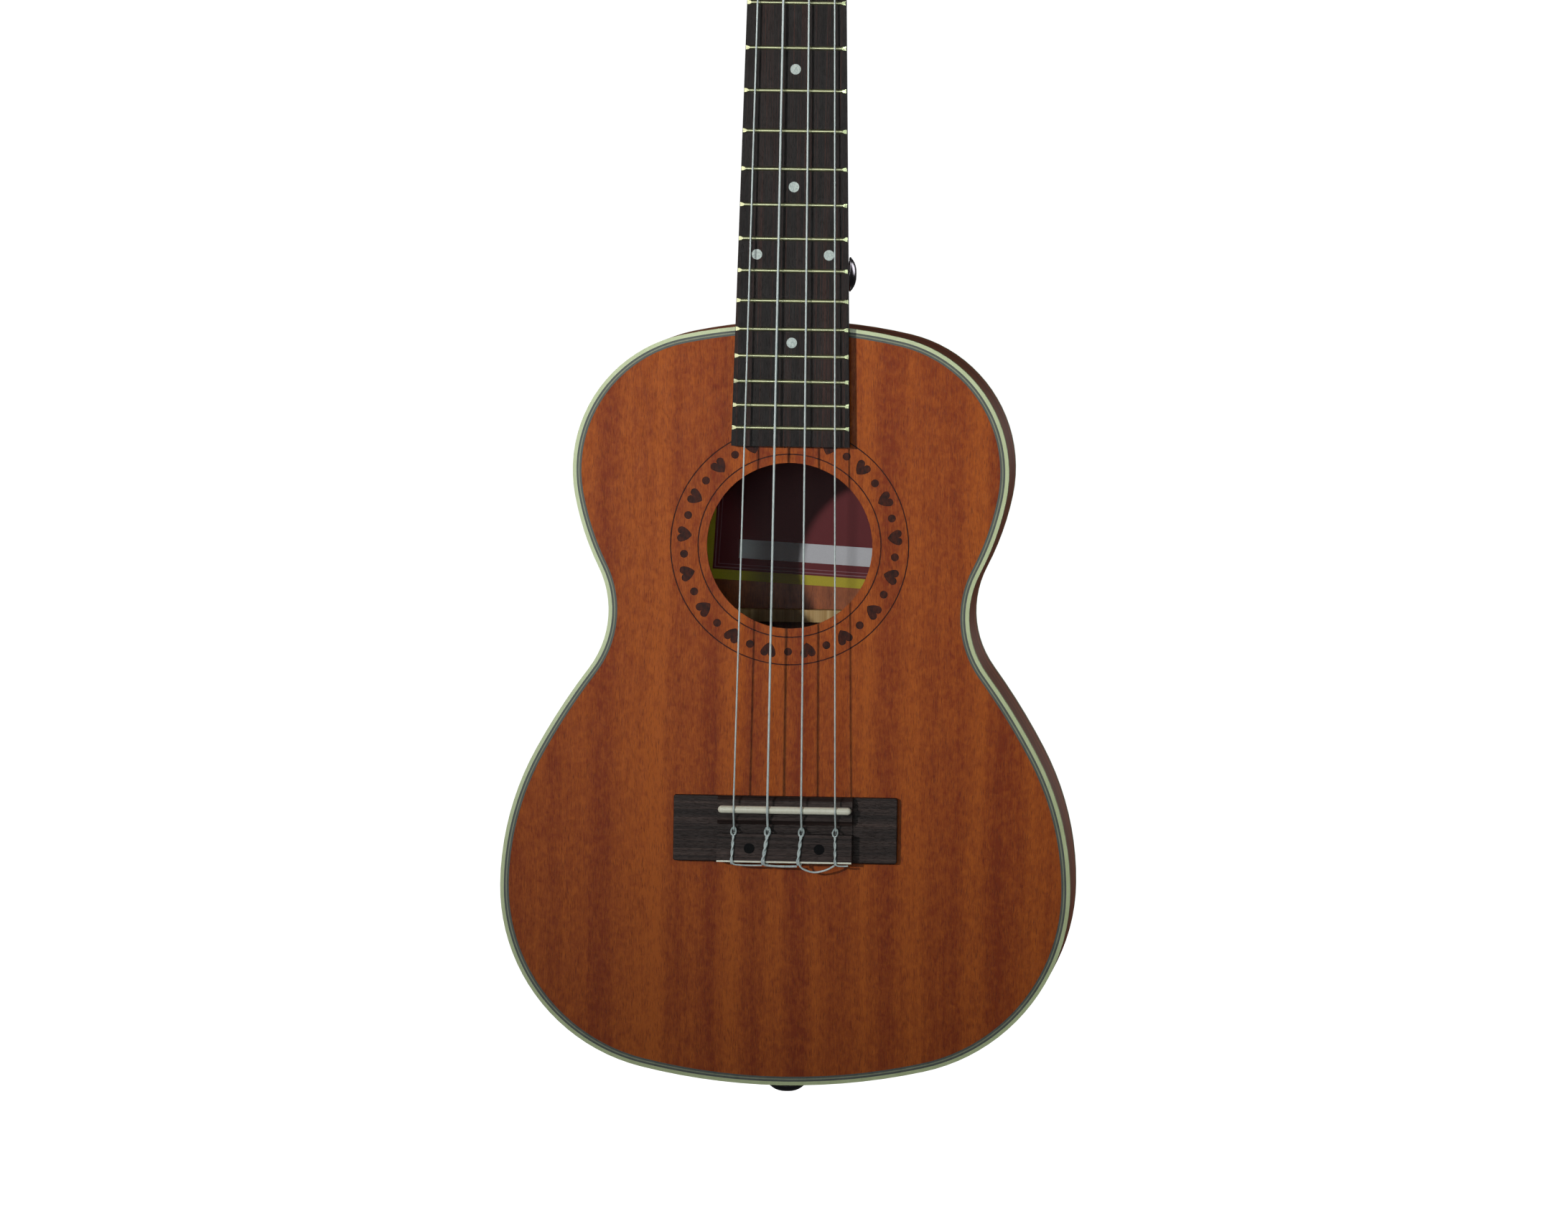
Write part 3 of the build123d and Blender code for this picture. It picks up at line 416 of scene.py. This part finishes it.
for finish_name, names in NODE_FINISH.items():
    for name in names:
        dress(nodes[name].data, finish_name)
for letter in "gcea":
    for part, finish_name in TUNER_FINISH.items():
        dress(nodes[f"tuner_{letter}_{part}"].data, finish_name)


# ------------------------------------------------------------------- pieces

def piece(name, data, finish, body, replaced):
    """A visible piece that stands in for the CAD node named last."""
    made = bpy.data.objects.new(name, data)
    scene.collection.objects.link(made)
    dress(data, finish)
    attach(made, body)
    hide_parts(replaced)


def tube(name, points, diameter):
    """A round line through points given in millimetres."""
    curve = bpy.data.curves.new(name, "CURVE")
    curve.dimensions = "3D"
    curve.bevel_depth = diameter / 2 * MM
    curve.bevel_resolution = 3
    curve.use_fill_caps = True
    line = curve.splines.new("POLY")
    line.points.add(len(points) - 1)
    for point, at in zip(line.points, points):
        point.co = (*(Vector(at) * MM), 1.0)
    line.use_smooth = True
    return curve


def rounded(points, radii, steps=8):
    """The line through points, with each corner turned on its radius."""
    points = [Vector(p) for p in points]
    line = [points[0]]
    for before, corner, after, radius in zip(points, points[1:], points[2:], radii):
        come, go = (before - corner).normalized(), (after - corner).normalized()
        half = come.angle(go) / 2
        reach = radius / math.tan(half)
        middle = (come + go).normalized() * (radius / math.sin(half))
        centre = corner + middle
        first, last = corner + come * reach - centre, corner + go * reach - centre
        turn = first.angle(last)
        for step in range(steps + 1):
            a, b = math.sin((1 - step / steps) * turn), math.sin(step / steps * turn)
            line.append(centre + (first * a + last * b) / math.sin(turn))
    return line + [points[-1]]


def flowing(points, steps=6):
    """A smooth line through every point."""
    points = [Vector(p) for p in points]
    ends = [points[0] * 2 - points[1]] + points + [points[-1] * 2 - points[-2]]
    line = []
    for a, b, c, d in zip(ends, ends[1:], ends[2:], ends[3:]):
        for step in range(steps):
            t = step / steps
            line.append(0.5 * (2 * b + (c - a) * t + (2 * a - 5 * b + 4 * c - d) * t * t
                               + (3 * b - a - 3 * c + d) * t ** 3))
    return line + [points[-1]]


def ribbon(name, outer, inner, front, back):
    """A closed band between two outlines of points (x, z), from the front to the back."""
    count = len(outer)
    lines = ((outer, front), (inner, front), (inner, back), (outer, back))
    points = [(x * MM, y * MM, z * MM) for line, y in lines for x, z in line]
    faces = []
    for corner in range(4):
        a, b = corner * count, (corner + 1) % 4 * count
        faces += [(a + i, a + (i + 1) % count, b + (i + 1) % count, b + i) for i in range(count)]
    mesh = bpy.data.meshes.new(name)
    mesh.from_pydata(points, [], faces)
    return mesh


# Half of the body's outline, from the tail to the neck: (radius, sweep in degrees) of each arc.
TAIL_Z = -544.7
OUTLINE_ARCS = [(252.6, 13.1), (74.8, 77.0), (116.3, 28.2), (268.5, 8.3), (-38.8, 63.4),
                (113.0, 15.8), (55.6, 88.6)]


def outline(inset):
    """Points (x, z) on the line that lies that far inside the body's outline."""
    at, heading, half = Vector((0.0, TAIL_Z + inset)), 0.0, []

    def arc(radius, turn):
        """Adds an arc's points and returns where it ends. Both are negative in the waist."""
        centre = at + radius * Vector((-math.sin(heading), math.cos(heading)))
        steps = 8 + int(abs(turn) * 40)
        for step in range(1, steps + 1):
            a = heading + turn * step / steps
            half.append(centre - radius * Vector((-math.sin(a), math.cos(a))))
        return half[-1]

    half.append(at)
    for radius, sweep in OUTLINE_ARCS:
        turn = math.copysign(math.radians(sweep), radius)
        at = arc(radius - inset, turn)
        heading += turn
    arc(at.x / math.sin(heading), math.pi - heading)
    return [(p.x, p.y) for p in half] + [(-p.x, p.y) for p in half[-2:0:-1]]


# The purfling: black, white and black lines let in beside the binding, between those insets.
PURFLING = (("outer", 1.5, 2.25, "black_line"), ("middle", 2.25, 2.75, "white_line"),
            ("inner", 2.75, 3.5, "black_line"))
PURFLING_FRONT, PURFLING_BACK = -0.02, 1.2
for line, start, stop, finish_name in PURFLING:
    name = f"purfling_{line}"
    band = ribbon(name, outline(start), outline(stop), PURFLING_FRONT, PURFLING_BACK)
    piece(name, band, finish_name, "root", "soundboard_purfling")

# The strings: how far each is from the middle in string gaps, its diameter, and the lean of its
# twisted wrap over the tie block.
STRINGS = {"g": (-1.5, 0.72, -0.65), "c": (-0.5, 0.95, -1.6), "e": (0.5, 0.82, -1.15),
           "a": (1.5, 0.66, 0.2)}
# Each free end behind the tie block: (sideways from the wrap's foot, depth, distance behind).
TAILS = {
    "g": [(12.2, -7.3, 1.1), (8.5, -7.4, 1.2), (3.2, -7.7, 1.1)],
    "c": [(13.6, -7.3, 1.3), (8.5, -7.3, 1.4), (3.0, -7.6, 1.2)],
    "e": [(14.6, -7.9, 0.8), (11.2, -7.2, 2.6), (6.5, -6.6, 3.6), (2.3, -7.6, 2.4)],
    "a": [(5.2, -7.6, 0.8), (3.0, -7.6, 0.9)],
}
BLOCK_TOP, BLOCK_FRONT, BLOCK_REAR = -8.2, -442.7, -454.3
HOLE_Y, HOLE_FRONT_Z = -5.6, -441.3
SADDLE_TOP, SADDLE_Z = -10.2, -433.55
NUT_TOP, NUT_Z = -6.3, 2.5
SADDLE_PITCH, NUT_PITCH = 13.65, 9.2
POST_X, POST_RADIUS = 17.0, 3.0
POST_ROWS = {"g": 40.0, "c": 84.0, "e": 84.0, "a": 40.0}    # up the headstock from the nut
HEAD_TILT = math.radians(12.0)


def on_head(x, v, w):
    """A point of the headstock: v up it from the nut, w in front of its face."""
    cos, sin = math.cos(HEAD_TILT), math.sin(HEAD_TILT)
    return (x, 1.0 + v * sin - w * cos, 5.0 + v * cos + w * sin)


def wrap(name):
    """The string's free end, the twisted pair over the tie block and the eye in front of it."""
    count, thick, lean = STRINGS[name]
    x, gap = count * SADDLE_PITCH, thick * 0.36
    high, rear = BLOCK_TOP - thick - 0.1, BLOCK_REAR - thick / 2 - 0.2
    foot = x + lean
    line = [(foot + dx, y, BLOCK_REAR - out) for dx, y, out in TAILS[name]]
    line.append((foot + 0.7, BLOCK_TOP - 0.2, rear - 0.1))
    turns, steps = 1.5, 12

    def twist(side):
        """One of the two strands, from the eye to the block's rear edge."""
        made = []
        for step in range(steps + 1):
            t = step / steps
            a = 2 * math.pi * turns * t + (0.0 if side > 0 else math.pi)
            made.append((x + lean * t + gap * math.cos(a), high - gap * math.sin(a),
                         BLOCK_FRONT - 0.6 - 10.2 * t))
        return made

    eye = [(0.70, high + 0.2, -442.9), (1.0, -7.6, -441.9), (0.72, -6.0, -440.9), (0.0, -4.9, -440.2)]
    ring = [(x - dx, y, z) for dx, y, z in eye] + [(x + dx, y, z) for dx, y, z in eye[-2::-1]]
    line += twist(-1)[::-1] + ring + twist(1)
    line += [(foot, BLOCK_TOP - 0.35, rear + 0.1), (x + lean * 0.6, -7.2, rear),
             (x, HOLE_Y - 0.3, rear + 0.1), (x, HOLE_Y, rear + 1.2)]
    return flowing(line)


for name, (count, thick, _) in STRINGS.items():
    x, side = count * SADDLE_PITCH, math.copysign(1, count)
    from_middle = side * (POST_X - (POST_RADIUS + 1.5 * thick + 0.15))
    route = [(x, HOLE_Y, BLOCK_REAR + 1.4), (x, HOLE_Y, HOLE_FRONT_Z),
             (x, SADDLE_TOP - thick / 2 - 0.15, SADDLE_Z),
             (count * NUT_PITCH, NUT_TOP - thick / 2, NUT_Z),
             on_head(from_middle, POST_ROWS[name], 4.0 + thick)]
    points = wrap(name) + rounded(route, (3.0, 2.1, 3.0))
    piece(f"string_line_{name}", tube(f"string_line_{name}", points, thick), "nylon", "root",
          f"string_{name}")


# ------------------------------------------------------------------- camera

camera_data = bpy.data.cameras.new("camera")
camera = bpy.data.objects.new("camera", camera_data)
scene.collection.objects.link(camera)
scene.camera = camera
camera_data.sensor_width = 36.0
camera_data.lens = 285.1
camera_data.clip_start, camera_data.clip_end = 0.5, 60.0
AIM, CAMERA_DISTANCE = Vector((-0.0019, 0.0, -0.3509)), 5.0
RIGHT_OF_FRONT, ABOVE, ROLL = math.radians(3.5), math.radians(2.76), math.radians(0.82)
away = Vector((math.tan(RIGHT_OF_FRONT), -1.0, math.tan(ABOVE))).normalized()
camera.location = AIM + away * CAMERA_DISTANCE
camera.rotation_mode = "QUATERNION"
camera.rotation_quaternion = Quaternion(away, ROLL) @ away.to_track_quat("Z", "Y")


# -------------------------------------------------------------------- stage

def place_lamp(name, light, direction, distance, power, colour, target):
    light.energy, light.color = power, colour
    holder = bpy.data.objects.new(name, light)
    scene.collection.objects.link(holder)
    holder.visible_camera = False
    outward = Vector(direction).normalized()
    holder.location = Vector(target) + outward * distance
    holder.rotation_mode = "QUATERNION"
    holder.rotation_quaternion = outward.to_track_quat("Z", "Y")
    return holder


def soft_box(name, size, *place):
    light = bpy.data.lights.new(name, "AREA")
    light.shape, light.size = "DISK", size
    return place_lamp(name, light, *place)


# Each lamp: direction from its target, distance, watts, colour and target.
key = bpy.data.lights.new("key", "SPOT")
key.shadow_soft_size, key.spot_size, key.spot_blend = 0.1, math.radians(19.5), 1.0
place_lamp("key", key, (-0.485, -0.873, 0.055), 4.0, 400.0, (1.0, 0.99, 0.95), (0.0, 0.0, 0.02))
soft_box("side_fill", 0.3, (0.63, -0.77, 0.08), 3.0, 7.0, (0.86, 1.0, 0.92), (0.0, 0.0, -0.30))
sheen = soft_box("sheen", 0.5, (-0.09, -1.0, -0.03), 1.2, 2.0, (0.92, 1.0, 1.0),
                 (-0.11, 0.0, -0.23))
sheen.visible_diffuse = False
soft_box("back_left", 1.2, (-0.7, 0.7, 0.35), 3.0, 40.0, (1.0, 0.98, 0.95), (0.0, 0.0, -0.25))
soft_box("back_right", 1.2, (0.75, 0.65, 0.2), 3.0, 22.0, (0.95, 0.98, 1.0), (0.0, 0.0, -0.25))

# The camera sees plain white all round. As light, the world is stronger in front than behind.
world = bpy.data.worlds.new("studio")
scene.world = world
world.use_nodes = True
tree = world.node_tree
tree.nodes.clear()
output = tree.nodes.new("ShaderNodeOutputWorld")
mix = tree.nodes.new("ShaderNodeMixShader")
seen = tree.nodes.new("ShaderNodeBackground")
seen.inputs[0].default_value, seen.inputs[1].default_value = (1, 1, 1, 1), 1.05
lighting = tree.nodes.new("ShaderNodeBackground")
lighting.inputs[0].default_value = (0.95, 0.98, 1, 1)
ray = tree.nodes.new("ShaderNodeLightPath")
towards = tree.nodes.new("ShaderNodeSeparateXYZ")
tree.links.new(tree.nodes.new("ShaderNodeTexCoord").outputs["Generated"], towards.inputs[0])
strength = tree.nodes.new("ShaderNodeMapRange")     # from and to along Y, and the strengths there
tree.links.new(towards.outputs["Y"], strength.inputs[0])
for number, value in enumerate((-0.4, 0.4, 0.10, 0.035), 1):
    strength.inputs[number].default_value = value
tree.links.new(strength.outputs[0], lighting.inputs[1])
tree.links.new(ray.outputs["Is Camera Ray"], mix.inputs[0])
tree.links.new(lighting.outputs[0], mix.inputs[1])
tree.links.new(seen.outputs[0], mix.inputs[2])
tree.links.new(mix.outputs[0], output.inputs[0])

FLOOR_REACH, FLOOR_GAP = 9.0, 0.30
level = cad_box[0].z - FLOOR_GAP
floor_mesh = bpy.data.meshes.new("floor")
corners = [(x * FLOOR_REACH, y * FLOOR_REACH, level) for x, y in ((-1, -1), (1, -1), (1, 1), (-1, 1))]
floor_mesh.from_pydata(corners, [], [(0, 1, 2, 3)])
floor = bpy.data.objects.new("floor", floor_mesh)
scene.collection.objects.link(floor)
paper = Finish("white_paper", Roughness=0.9, Emission_Color=(1, 1, 1, 1), Emission_Strength=1.1)
haze = paper.noise((900, 900, 900), 2, 0.5, 81)
paper.set(Base_Color=paper.mix(haze, srgb(236, 236, 236), srgb(246, 246, 246)))
floor_mesh.materials.append(paper.material)
floor.visible_diffuse = floor.visible_glossy = False

scene.view_settings.view_transform = "Standard"
